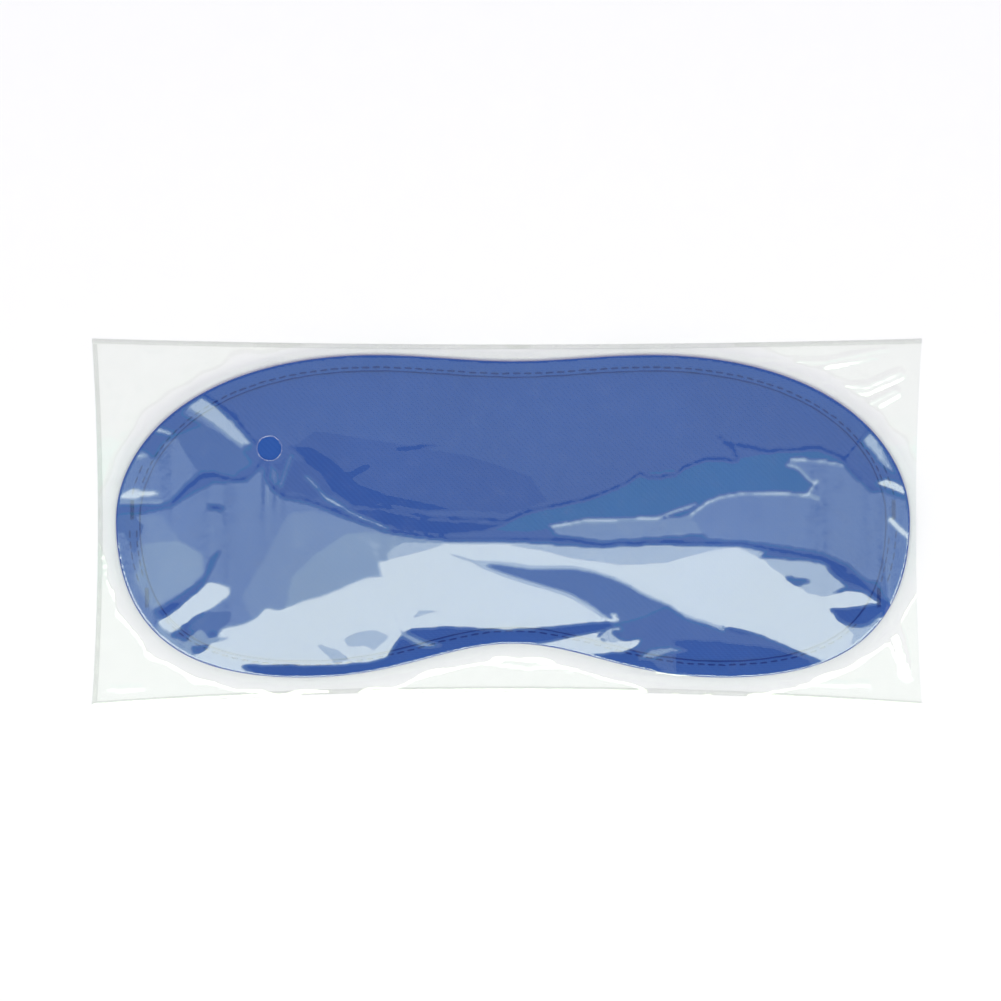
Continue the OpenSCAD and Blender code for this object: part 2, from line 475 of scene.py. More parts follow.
def panel(name, low, high, half_x, radiance, tint):
    """A flat soft light over the table, placed by the film slopes, low to high, that mirror it."""
    base = GLARE_Y * (1 + LIGHT_H / CAMERA_H) - VIEW_AT[1] * LIGHT_H / CAMERA_H
    near, far = base - 2 * LIGHT_H * low, base - 2 * LIGHT_H * high
    light = bpy.data.lights.new(name, "AREA")
    light.shape = "RECTANGLE"
    light.size, light.size_y = 2 * half_x * MM, abs(far - near) * MM
    light.energy = math.pi * radiance * light.size * light.size_y
    light.color = tint
    obj = placed(name, light)
    obj.location = Vector((0, (near + far) / 2, LIGHT_H)) * MM
    obj.visible_camera = False


# Slopes of the film, less its lean, from which it mirrors each panel; half the panel's width in
# millimetres; its radiance over that of the room; its colour
PANELS = (
    ("dim_ceiling", -0.062, -0.045, 700, 0.42, (0.86, 1, 0.75)),
    ("ceiling", -0.045, -0.022, 700, 0.62, (0.82, 1, 0.8)),
    ("teal_card", -0.022, -0.007, 680, 0.85, (0.38, 1, 0.68)),
    ("veil", -0.007, 0.009, 670, 0.9, (0.76, 1, 0.76)),
    ("glow", 0.009, 0.0135, 660, 1.8, (0.78, 1, 0.89)),
    ("soft_haze", 0.0135, 0.0185, 650, 2.3, (0.79, 1, 0.82)),
    ("haze", 0.0185, 0.0255, 640, 3.0, (0.8, 1, 0.75)),
    ("edge_of_key", 0.0255, 0.036, 620, 5.0, (0.86, 1, 0.8)),
    ("key", 0.036, 0.2, 600, 7.6, (0.92, 1, 0.77)),
)
CEILING = 0.15  # radiance of the room straight above
WALLS, ROOM_TINT = 0.85, (0.87, 0.79, 1.0)  # radiance of the pale walls round the table
WALL_TOP, CEILING_EDGE = 0.8, 0.93  # sines of the heights between which the one fades into the other


def add_room():
    """Pale walls all round and a darker ceiling, so that the film is clear from straight above."""
    n = Nodes("room", world=True)
    height = n.add("SeparateXYZ", {0: n.add("TexCoord").outputs["Generated"]}).outputs["Z"]
    limits = {"From Min": WALL_TOP, "From Max": CEILING_EDGE, "To Min": WALLS, "To Max": CEILING}
    fade = n.add("MapRange", {"Value": height, **limits}, interpolation_type="SMOOTHSTEP")
    light = {"Color": colour(*ROOM_TINT), "Strength": fade.outputs["Result"]}
    bpy.context.scene.world = n.finish("Background", light)


def add_lights():
    for settings in PANELS:
        panel(*settings)
    add_room()
    bpy.context.scene.view_settings.view_transform = "Standard"


# ---------- the mask ----------

CROWN, CROWN_RUN = 0.85, 5.5  # how far the pressed cover may rise, and how soon it does, inwards
MASK_EDGE = smoothed(resampled(cad_outline("edge_binding"), 552), 8)
MASK_IN = inward_normals(MASK_EDGE)


def mask_crown(depth):
    """Highest level of the cover at a distance inside the binding's inner edge."""
    return LIP_LOW + CROWN * (1 - np.exp(-np.maximum(depth, 0) / CROWN_RUN))


def mask_depth(points):
    """Distance of each point inside the mask's edge, negative outside."""
    distance = distance_to(points, MASK_EDGE[::3], closed=True)
    return np.where(inside(points, MASK_EDGE[::3]), distance, -distance)


def window_depth(points):
    """Distance of each point inside the binding's inner edge, negative under the binding."""
    return mask_depth(points) - binding_width(points[:, 0])


EVEN_ROWS = 0.866  # height of an even triangle over its side


def filled(outline, spacing):
    """A sheet of near-even triangles inside an outline."""
    low, high = outline.min(0), outline.max(0)
    rows = np.arange(low[1], high[1], spacing * EVEN_ROWS)
    columns = np.arange(low[0], high[0], spacing)
    x, y = np.meshgrid(columns, rows)
    x[1::2] += spacing / 2
    grid = grid_points(x, y)
    grid += rng.uniform(-0.08, 0.08, grid.shape) * spacing
    keep = inside(grid, outline) & (distance_to(grid, outline, closed=True) > spacing * 0.55)
    points = np.vstack([outline, grid[keep]])
    edges = [(i, (i + 1) % len(outline)) for i in range(len(outline))]
    out = delaunay_2d_cdt([Vector(p) for p in points], edges, [], 1, 1e-6)
    return np.array([tuple(v) for v in out[0]]), [tuple(f) for f in out[2]]


CLOTH_SETTINGS = {
    "quality": 6, "mass": 0.15, "tension_stiffness": 12, "compression_stiffness": 12,
    "bending_stiffness": 0.12, "use_pressure": True, "uniform_pressure_force": 4, "shrink_min": -0.035,
}


def puffed(points, faces, held, frames=20):
    """Heights that cloth takes under pressure from a flat sheet that is held where held is 1.

    The simulation runs ten times larger than life, where Blender's cloth is steady."""
    scale = 10 * MM
    obj = mesh_object("simulated", np.column_stack([points * scale, np.zeros(len(points))]), faces)
    group = obj.vertex_groups.new(name="held")
    for i, weight in enumerate(held):
        if weight > 0:
            group.add([i], float(weight), "REPLACE")
    cloth = obj.modifiers.new("cloth", "CLOTH")
    for key, value in CLOTH_SETTINGS.items():
        setattr(cloth.settings, key, value)
    cloth.settings.effector_weights.gravity = 0
    cloth.settings.vertex_group_mass = "held"
    cloth.point_cache.frame_start, cloth.point_cache.frame_end = 1, frames
    scene = bpy.context.scene
    for f in range(1, frames + 1):
        scene.frame_set(f)
    done = evaluated(obj)
    result = np.array([v.co[:] for v in done.vertices])
    scene.frame_set(1)
    bpy.data.objects.remove(obj)
    return result / scale


def subdivided(points, faces):
    """The same sheet with each edge halved and its surface smoothed, as one subdivision."""
    obj = mesh_object("coarse", points, faces)
    finer = obj.modifiers.new("finer", "SUBSURF")
    finer.levels = 1
    finer.boundary_smooth = "PRESERVE_CORNERS"
    done = evaluated(obj)
    out = np.array([v.co[:] for v in done.vertices])
    out_faces = [tuple(f.vertices) for f in done.polygons]
    bpy.data.objects.remove(obj)
    return out, out_faces


def thickened(points, faces, thickness):
    """A closed sheet: the given surface and a copy of it lower down, joined round the border."""
    n = len(points)
    under = points - UP * thickness
    sides = [(b, a, a + n, b + n) for a, b in border_edges(faces)]
    flipped = [tuple(n + i for i in reversed(face)) for face in faces]
    return np.vstack([points, under]), list(faces) + flipped + sides


def upward(points, faces):
    """The faces turned so that they look up."""
    out = []
    for face in faces:
        a, b, c = (points[i] for i in face[:3])
        up = (b[0] - a[0]) * (c[1] - a[1]) - (b[1] - a[1]) * (c[0] - a[0]) > 0
        out.append(tuple(face) if up else tuple(reversed(face)))
    return out


def flat_sheet(corners, spacing):
    """The lining's shape as a flat sheet of triangles, with so many points round its edge."""
    flat, faces = filled(resampled(smoothed(cad_outline("back_lining"), 2), corners), spacing)
    return flat, upward(flat, faces)


CAP = 1.25  # how far the pressure may lift the cover
SHIFT = 0.35  # how far it may move the cloth sideways


def cover_sheet():
    """The front fabric as points and faces: held at the stitches and puffed over the foam."""
    flat, faces = flat_sheet(corners=280, spacing=2.2)
    window = window_depth(flat)
    held = (window < -STITCH_INSET + 0.4).astype(float)
    moved = puffed(flat, faces, held)
    shift = np.clip(moved[:, :2] - flat, -SHIFT, SHIFT)
    lift = CAP * (1 - np.exp(-np.maximum(moved[:, 2], 0) / CAP))
    points = np.column_stack([flat + shift * (held[:, None] < 1), LIP_LOW + lift])
    points[:, 2] = np.minimum(points[:, 2], mask_crown(window))
    points, faces = subdivided(points, faces)
    points[:, 2] -= puckers(points, window_depth(points[:, :2]))
    return points, faces


def puckers(points, window):
    """Depth of the small gathers that run in from the stitches."""
    angle = np.arctan2(points[:, 1] - MASK_MID[1], (points[:, 0] - MASK_MID[0]) * 0.45)
    wave = 0.6 * np.sin(62 * angle + 3 * np.sin(5 * angle))
    wave += 0.4 * np.sin(101 * angle + 2 * np.sin(7 * angle))
    fade = np.exp(-np.maximum(window, 0) / 3.2) * (window > -1.2)
    return 0.07 * (1 + wave) * fade


def make_cover():
    """The front fabric as a closed sheet."""
    points, faces = cover_sheet()
    points, faces = thickened(points, faces, FABRIC_T)
    return piece("cover_cloth", points, faces, CLOTH, "mask", "front_cover")


FOAM_SHARE = 0.997  # the foam's outline as a share of the lining's
FOAM_RIM = 0.35  # its thickness at the rim
FOAM_CLEAR = 0.22  # the least gap between it and the cover


def make_foam():
    """The foam sheet, thin at its rim and full height inside the binding."""
    flat, faces = flat_sheet(corners=240, spacing=3.2)
    flat = MASK_MID[:2] + (flat - MASK_MID[:2]) * FOAM_SHARE
    window = window_depth(flat)
    low = level("foam_pad", 0)
    top = np.minimum(mask_crown(window) - FABRIC_T - FOAM_CLEAR, level("foam_pad", 1))
    top = np.where(window < 0, low + FOAM_RIM, np.maximum(top, low + FOAM_RIM))
    points, faces = thickened(np.column_stack([flat, top]), faces, 0.0)
    points[len(flat):, 2] = low + 0.02
    return piece("foam_core", points, faces, FOAM, "mask", "foam_pad")


def make_lining():
    """The back fabric, slightly rippled inside the binding."""
    flat, faces = flat_sheet(corners=240, spacing=3.0)
    ripple = 0.035 * np.sin(flat[:, 0] / 5.3 + 1.7 * np.sin(flat[:, 1] / 7)) * (window_depth(flat) > 0)
    points = np.column_stack([flat, level("back_lining", 1) - 0.04 + ripple])
    points, faces = subdivided(points, faces)
    points, faces = thickened(points, faces, FABRIC_T * 0.8)
    return piece("lining_cloth", points, faces, CLOTH, "mask", "back_lining")


def tape_profile():
    """Across the folded tape, from the front lip's edge over the fold to the back lip's edge.

    Each point is a share of the lip's width, inwards, and a level."""
    mid, half = (LIP_TOP + TAPE_LOW) / 2, (LIP_TOP - TAPE_LOW) / 2
    outer = [(1.0, half - 0.02), (0.93, half), (0.8, half - 0.05), (0.6, half), (0.35, half)]
    outer.append((0.17, half - 0.03))
    turn = [(0.17 * (1 - math.cos(t)), half * math.sin(t)) for t in np.linspace(1.2, -1.2, 7)]
    outer += turn + [(x, -z) for x, z in outer[::-1]]
    inner_half = half - TAPE_T
    inner = [(1.0, inner_half), (0.8, inner_half - 0.02), (0.4, inner_half), (0.2, inner_half)]
    inner_turn = [(0.07 + 0.13 * (1 - math.cos(t)), inner_half * math.sin(t)) for t in (0.9, 0, -0.9)]
    inner += inner_turn + [(x, -z) for x, z in inner[::-1]]
    return np.array([(x, mid + z) for x, z in outer + inner[::-1]])


def make_binding():
    """The tape folded round the mask's edge, gathered at each stitch and slightly uneven."""
    profile = tape_profile()
    width = binding_width(MASK_EDGE[:, 0])
    step = around(len(MASK_EDGE))
    stitches = len(cad_parts("needle_thread"))
    gather = 0.5 + 0.5 * np.cos(stitches * step)
    wander = np.sin(23 * step + 2 * np.sin(4 * step)) + 0.6 * np.sin(57 * step + 1.4)
    rings = np.empty((len(MASK_EDGE), len(profile), 3))
    for j, (share, height) in enumerate(profile):
        reach = share * width + 0.05 * wander * (share > 0.7)
        rings[:, j, :2] = MASK_EDGE + MASK_IN * reach[:, None]
        pinch = np.exp(-(((share - 0.8) / 0.12) ** 2)) * 0.1 * gather
        bulge = np.exp(-(((share - 0.45) / 0.25) ** 2)) * 0.05 * wander
        side = np.sign(height - (LIP_TOP + TAPE_LOW) / 2)
        rings[:, j, 2] = height - side * (pinch + np.maximum(bulge, -0.02))
    points, faces = skin(rings, closed=True)
    obj = piece("binding_tape", points, faces, TAPE, "mask", "edge_binding")


def make_lip_edge_painted_shade():
    """The tape's turned-in inner edge on the front, a dark uneven line beside the stitches: a real turned
    edge, whose dark thread colour is painted shade for the crevice where the lip meets the cover.
    """
    step = around(len(MASK_EDGE))
    wander = 0.6 * np.sin(31 * step + 2 * np.sin(5 * step)) + 0.4 * np.sin(83 * step + np.sin(9 * step))
    half = 0.17 + 0.06 * wander
    reach = binding_width(MASK_EDGE[:, 0]) + 0.06 + 0.08 * np.roll(wander, 9)
    turn = around(8)
    rings = np.empty((len(MASK_EDGE), len(turn), 3))
    across = reach[:, None] + half[:, None] * np.cos(turn)
    rings[..., :2] = MASK_EDGE[:, None] + MASK_IN[:, None] * across[..., None]
    rings[..., 2] = LIP_TOP - 0.1 + 0.11 * np.sin(turn)
    points, faces = skin(rings, closed=True)
    # the dark navy thread colour on this edge is painted shade, standing in for the shadow at the lip's
    # inner edge
    piece("binding_edge_painted_shade", points, faces, THREAD, "mask", "edge_binding", replaces=False)


def stitch_path(low, high, top, lift):
    """One stitch: it leaves the cloth, lies on it and goes back in."""
    t = np.linspace(0, 1, 7)
    path = low + (high - low) * t[:, None]
    rise = lift * (1 - (2 * t - 1) ** 6 * 2.4)
    return np.column_stack([path, top + rise])


STITCH_R, ZIGZAG_R, RAIL_R = 0.17, 0.13, 0.11  # radii of the threads


def make_stitches(name, node, front=True):
    """Each stitch of a CAD row as a bent round thread in the same place."""
    parts = []
    for corners in cad_parts(node):
        spread = corners - corners.mean(0)
        axis = np.linalg.svd(spread[:, :2], full_matrices=False)[2][0]
        half = np.abs(spread[:, :2] @ axis).max() * rng.uniform(0.94, 1.04)
        mid = corners[:, :2].mean(0) + np.array([-axis[1], axis[0]]) * rng.normal(0, 0.035)
        axis = axis + np.array([-axis[1], axis[0]]) * rng.normal(0, 0.03)
        surface = corners[:, 2].min() if front else corners[:, 2].max()
        lift = 0.02 if front else -0.02
        path = stitch_path(mid - axis * half, mid + axis * half, surface, lift)
        parts.append(tube(path, STITCH_R))
    piece(name, *joined(parts), THREAD, "mask", node)


def make_bartack(name, node):
    """Zigzag thread across a strap's end, on the front of the binding and on the strap."""
    low, high = extent(node)
    rows = 13
    parts = []
    for surface in (low[2] + 0.08, high[2] - 0.05):
        y = np.linspace(low[1] + 0.15, high[1] - 0.15, rows)
        x = np.where(np.arange(rows) % 2 == 0, low[0] + 0.12, high[0] - 0.12)
        x = x + rng.uniform(-0.08, 0.08, rows)
        corners = np.column_stack([x, y, np.full(rows, surface)])
        path = resampled(corners, rows * 6, closed=False)
        swell = 0.5 + 0.5 * np.cos(2 * math.pi * (path[:, 0] - low[0]) / (high[0] - low[0]))
        path[:, 2] -= 0.05 * swell * (1 if surface > TAPE_LOW else -1)
        parts.append(tube(path, ZIGZAG_R, 6))
        for x_side in (low[0] + 0.3, high[0] - 0.3):
            run = np.column_stack([np.full(9, x_side), np.linspace(low[1], high[1], 9), np.full(9, surface)])
            parts.append(tube(run, RAIL_R, 6))
    piece(name, *joined(parts), THREAD, "mask", node)


def make_strap(name, node, bow):
    """A flat braided elastic along the arc that the CAD strap lies in, with its rubber cords as ribs."""
    low, high = extent(node)
    half = (high[0] - low[0]) / 2 - 0.3
    middle_x = (low[0] + high[0]) / 2
    top_y = high[1] - STRAP_W / 2
    radius = (half**2 + bow**2) / (2 * bow)
    reach = math.asin(half / radius)
    cords, per_cord = 7, 4
    across = np.linspace(-1, 1, cords * per_cord + 1)
    thick = (high[2] - low[2]) / 2
    rib = np.abs(np.sin(cords * math.pi * (across + 1) / 2)) ** 0.6
    height = (thick - 0.1) * (1 - 0.25 * across**8) + 0.09 * rib
    upper = np.column_stack([across, height])
    profile = np.concatenate([upper, (upper * (1, -1))[::-1]])
    rings = []
    for angle in np.linspace(-reach, reach, 150):
        out = np.array([math.sin(angle), math.cos(angle)])
        centre = np.array([middle_x, top_y - radius]) + radius * out
        wobble = 1 + 0.012 * math.sin(angle * 400)
        flat = centre + out * (profile[:, :1] * STRAP_W / 2 * wobble)
        rings.append(np.column_stack([flat, (low[2] + high[2]) / 2 + profile[:, 1]]))
    piece(name, *skin(np.array(rings), caps=True), ELASTIC, "mask", node)


# ---------- the front film ----------
# The film lies over the mask in flat and bent facets. Each zone below is a range that the film's
# slope, upwards along +Y and less its lean, keeps to, and the facet's outline in millimetres. A later
# zone goes over an earlier one. The film is the surface whose slopes come nearest to the ranges.

SHADE = (-0.14, -0.066)
DIM = (-0.058, -0.048)
DARK = (-0.042, -0.026)
TEAL = (-0.018, -0.012)
VEIL = (-0.003, 0.002)
SOFT = (0.0105, 0.012)
MILD = (0.015, 0.017)
HAZY = (0.0205, 0.0235)
GREY = (0.028, 0.032)
GLARE = (0.045, 0.16)
FOLD = (-0.12, -0.095)
GLINT = (0.06, 0.15)
SHINE = (0.033, 0.038)
FREE = (-3, 3)
SIDEWAYS = 0.17  # most slope along X over the mask
SIDE_END = 92  # farthest from the bag's middle that this limit holds
LOWER_HALF = -20  # below this line an open place between the zones is in the shade

# Lines that several facets share
TWIST_EDGE = [(-54, 19), (-49, 19), (-43, 15), (-37, 9.5), (-30, 7), (-20, 5), (-12, 3)]
STREAK_EDGE = [(-80, 29), (-73, 24.5), (-69, 21), (-66, 19)]
TEAL_RIDGE = [(46, 2), (50, 5), (53, 6.3), (60, 7.5), (75, 7)]
TEAL_TIP = [(71, 15.7), (78, 15.5), (84, 14.5)]
GAP_TOP = [(-3, -9.8), (5, -11), (18, -11.3), (22, -12), (30, -15), (35, -18), (40, -20), (45, -23.5),
           (50, -25)]
GAP_FOOT = [(0, -13.5), (10, -16.5), (15, -18), (20, -20.5)]
GAP_END = [(58, -28), (63, -28), (70, -31), (79, -34.8), (60, -41), (40, -38), (30, -30)]

ZONES = [
    # darker parts of the upper half
    (SHADE, [(-50, 15), (-45, 12), (-43, 8), (-38, 5), (-30, 4.4), (-20, 2.6), *TWIST_EDGE[::-1]]),
    (DIM, [*TWIST_EDGE, (0, 2), (10, 5), (6, 12), (-10, 17), (-30, 20), (-48, 23)]),
    # lighter facets left of the dark fold
    (SOFT, [(-84, 4), (-79, 7), (-73, 10), (-65, 10.5), (-61, 14), (-59, 9), (-55, 6), (-46, 4), (-40, 1.5),
        (-30, -2), (-15, -4), (0, -4), (0, -7), (-31, -12), (-57, -24), (-72, -29), (-78, -19), (-74, -12),
        (-71, -6), (-73, -2), (-70, 3), (-72, 8)]),
    (SOFT, [(-84, 4), (-79, 7), (-72, 8), (-67.5, 9), (-67.5, 4), (-69, 2), (-68, -1), (-71, -4),
        (-70.5, -6), (-74, -9), (-75.5, -14), (-84, -20), (-91, -24), (-96, -14), (-97, -4), (-93, 2)]),
    (MILD, [(-55, 2), (-48, 3), (-42, 1.2), (-30, -2.6), (-15, -4.8), (0, -4.8), (0, -7), (-31, -12),
        (-46, -18), (-57, -22), (-64, -24), (-66, -18), (-60, -8)]),
    (HAZY, [(-40, -3), (-34, -2.5), (-26, -4), (-15, -4.8), (0, -4.8), (0, -7), (-31, -14.5), (-46, -19),
        (-55, -21), (-54, -14), (-48, -8)]),
    (GREY, [(-26, -5), (-18, -5), (0, -5), (0, -7), (-20, -9), (-29, -11.5), (-30, -8)]),
    # the left end: a facet below the hole, a bright streak to the edge, and small facets
    (VEIL, [(-82, 22), (-76, 24.5), (-71, 22), (-66, 18), (-64, 15), (-68, 11.3), (-74, 12.5), (-77, 13)]),
    (SOFT, [(-98, 4), (-84, 5), (-88, 16), (-93, 20), (-97, 14)]),
    (SOFT, [(-88, 16), (-87, 9), (-84, 5), (-80, 9.5), (-76.5, 12.5), (-80, 18), (-82, 22), (-86, 20)]),
    (GREY, [(-76, 31.5), (-72.5, 29), (-68, 25), (-63.4, 19.6), *STREAK_EDGE[::-1]]),
    (SOFT, [*STREAK_EDGE, (-64, 18.6), (-66.5, 18), (-73.5, 23.2), (-81, 27)]),
    (GREY, [(-90, 23), (-84, 21.5), (-83, 22.5), (-88, 24.5)]),
    (GREY, [(-95, 15.5), (-90, 16.3), (-89, 17.2), (-94, 17.4)]),
    (GLARE, [(-97.5, 6.4), (-94, 8.2), (-88, 7.8), (-86.5, 7), (-94, 6)]),
    (HAZY, [(-98, 4.4), (-86, 4.2), (-86, 5.4), (-98, 5.6)]),
    (SOFT, [(-98, -4), (-93, -13), (-88, -22), (-80, -30), (-72, -31), (-66, -36), (-60, -38.5), (-60, -42),
        (-101, -42), (-101, -8)]),
    (HAZY, [(-91, -5), (-82, -4.5), (-76, -8), (-75.5, -12), (-79, -16), (-84, -19), (-89, -22),
        (-93, -14)]),
    (MILD, [(-91, 2), (-86, 2), (-82, -4.5), (-91, -5), (-98, -9), (-98, -6), (-95, -2)]),
    (HAZY, [(-88, -26), (-82, -24.5), (-80, -28), (-76, -30), (-78, -34), (-84, -31)]),
    (VEIL, [(-98, 2), (-94, 2.5), (-91, -1), (-93, -8), (-98, -8)]),
    (SOFT, [(-101, -2), (-95, -2), (-93, -8), (-94, -15), (-90, -22), (-92, -30), (-102, -18)]),
    # the twist right of the hole
    (DIM, [(-58.5, 14), (-55, 16.8), (-50, 15), (-45, 12), (-43, 7), (-48, 6), (-52, 7), (-57, 8)]),
    (SOFT, [(-59.3, 14.8), (-57.5, 13), (-57, 9.5), (-58.6, 9.5)]),
    # lighter facets on the right
    (MILD, [(11, -1), (20, 0.7), (37, 1), (46, 2), (50, 5), (53, 6), (56, 2), (50, -3), (24, -4.8),
        (12, -3.2)]),
    (SOFT, [*TEAL_RIDGE, (77.5, 9), (73, 13.2), (70, 14.5), *TEAL_TIP, (87, 12), (91.5, 8), (95, -5),
        (94, -15), (90, -15), (85, -10.5), (78, -7.5), (65, -5.5), (50, -4.4), (48, -2)]),
    (TEAL, [(0, 0.5), (12, 4.2), (25, 7.8), (33, 12.3), (44, 13.8), (50, 16), (57.5, 16), (65, 17.5),
        (78, 18), (84, 16), (78, 15.5), (71, 15.7), (70, 14.5), (76, 10), (75, 7), (60, 7.5), (53, 6.3),
        (46, 2), (20, 0.7), (5, -2.5), (-20, -1)]),
    (SHADE, [(-44, 3.6), (-38, 3.5), (-30, 3), (-20, 0.8), (-8, 0), (0, -0.4), (-6, -2.2), (-16, -3),
        (-26, -2), (-34, 0.8)]),
    # between the dark fold and the glare
    (GREY, [(0, -4.6), (24, -6.2), (33, -5.2), (60, -6), (65, -7.2), (63, -9), (57, -6.6), (50, -7.8),
        (40, -10.8), (30, -11.4), (20, -10.2), (10, -7.8), (0, -6)]),
    # the glare over the lower half
    (GLARE, [(-65, -37), (-68, -39.5), (-74, -36.5), (-78, -33), (-75, -31), (-72, -28), (-71, -26.5),
        (-66, -25.5), (-62, -23.5), (-60, -21.3), (-57, -22.2), (-50, -19.5), (-45, -18.2), (-40, -16),
        (-35, -14), (-31, -13.8), (-31.8, -10), (-25, -8.6), (-20, -7.3), (-16, -5.7), (0, -5.7), (10, -7.6),
        (20, -10), (30, -11.2), (40, -10.5), (50, -7.6), (57, -6.2), (63, -9), (69, -11), (70, -14.5),
        (75, -18), (80, -18.5), (84, -17.5), (89, -17.5), (94, -20.5), (87, -21), (81, -21.5), (83, -25),
        (87, -28.5), (84, -33), (80, -36), (76, -34), (70, -31.3), (63, -28), (55, -26), (45, -23.5),
        (25.5, -24.8), (10, -26.3), (0, -27), (-15, -26), (-24, -26.5), (-27, -29), (-30, -34), (-36, -35.5),
        (-50, -36), (-67, -35.8)]),
    (GREY, [(82.5, -24.5), (87, -26), (90, -25.5), (94, -21.5), (93, -27), (88, -33), (84, -33), (86, -28)]),
    (GREY, [(63, -8.5), (78, -9.7), (81, -11), (85, -16), (80, -18.5), (75, -18), (72, -16), (76, -14.5),
        (70, -13.6), (66, -12)]),
    # the gap across it, where the film turns away
    (VEIL, [(-7, -10.5), *GAP_TOP, *GAP_END, (25.5, -24.5), *GAP_FOOT[::-1]]),
    (DARK, [(40, -21), *GAP_TOP[-2:], *GAP_END, (27, -25.5), (33, -24)]),
    (SHADE, [(42, -29), (58, -30.5), (66, -31.5), (76, -35), (70, -39), (55, -42), (42, -40)]),
    # the facets in the nose notch
    (GLARE, [(-6, -32.5), (10, -29.8), (24, -26.8), (22.5, -28.5), (24, -30), (30, -30), (33.5, -28.7),
        (33, -30.5), (29, -32.5), (20, -33.3), (0, -34.2)]),
    (GREY, [(22.5, -28.6), (24.4, -30), (30, -30), (26.5, -27.6), (29.5, -26.4), (26, -25.8)]),
    (GLARE, [(25.2, -25.4), (27.8, -24.6), (27.4, -22.8), (25.4, -22.8), (26.6, -23.7)]),
    (HAZY, [(32.5, -34), (36, -31.6), (41, -31), (45, -32), (41, -32.6), (36, -34.2)]),
    # facets inside the left part of the glare
    (GREY, [(-25, -25), (-22, -21.2), (-18, -21.6), (-15, -23), (-19, -23), (-22, -24)]),
    (GREY, [(-49, -29.3), (-46.4, -30.5), (-42.4, -31.6), (-38.8, -34.3), (-43.2, -35.3), (-45.2, -33)]),
    (GREY, [(-41, -29), (-38.4, -27.4), (-33, -26.4), (-29, -28.5), (-33.2, -32.5), (-35.6, -30.9),
        (-40, -31.3)]),
    (HAZY, [(-28.5, -25), (-25, -27.3), (-20, -29.6), (-16, -30.8), (-21, -31.5), (-26, -29)]),
    # facets at the left lower edge
    (GLARE, [(-87, -25), (-80, -19.5), (-75, -15.5), (-72, -15.3), (-69, -16.5), (-69.5, -18.5), (-75, -22),
        (-84, -27.5)]),
    (VEIL, [(-80, -26.5), (-78.5, -24.5), (-75, -22.5), (-69, -22.5), (-70, -25), (-74, -27.5), (-78, -29)]),
    (DIM, [(-84, -28), (-81, -26.9), (-77.5, -27.2), (-74.7, -28.6), (-68, -28.5), (-73.5, -30.4),
        (-77.5, -33), (-79.5, -29.7)]),
    (HAZY, [(-80, -28.5), (-76, -26.5), (-74, -28.5), (-68, -28.5), (-75, -31), (-79, -31)]),
    # facets at the right end
    (SOFT, [(91.5, 8), (94, 8), (102, 5), (102, -8), (96, -21), (94.5, -19), (92, -14), (95, -5)]),
    (GREY, [(88.5, 20.5), (91, 23), (94, 19), (97, 12), (94, 14)]),
    (GLARE, [(92, 10), (95, 11), (100, 8.5), (100.7, 6.5), (93, 9.2)]),
    (SHADE, [(80, -10), (84, -11.2), (89.5, -16.5), (84, -15), (81, -12.5)]),
    (SHADE, [(81, -21.8), (87, -23), (94, -20.9), (90, -25), (87, -25.5), (82.5, -23)]),
]

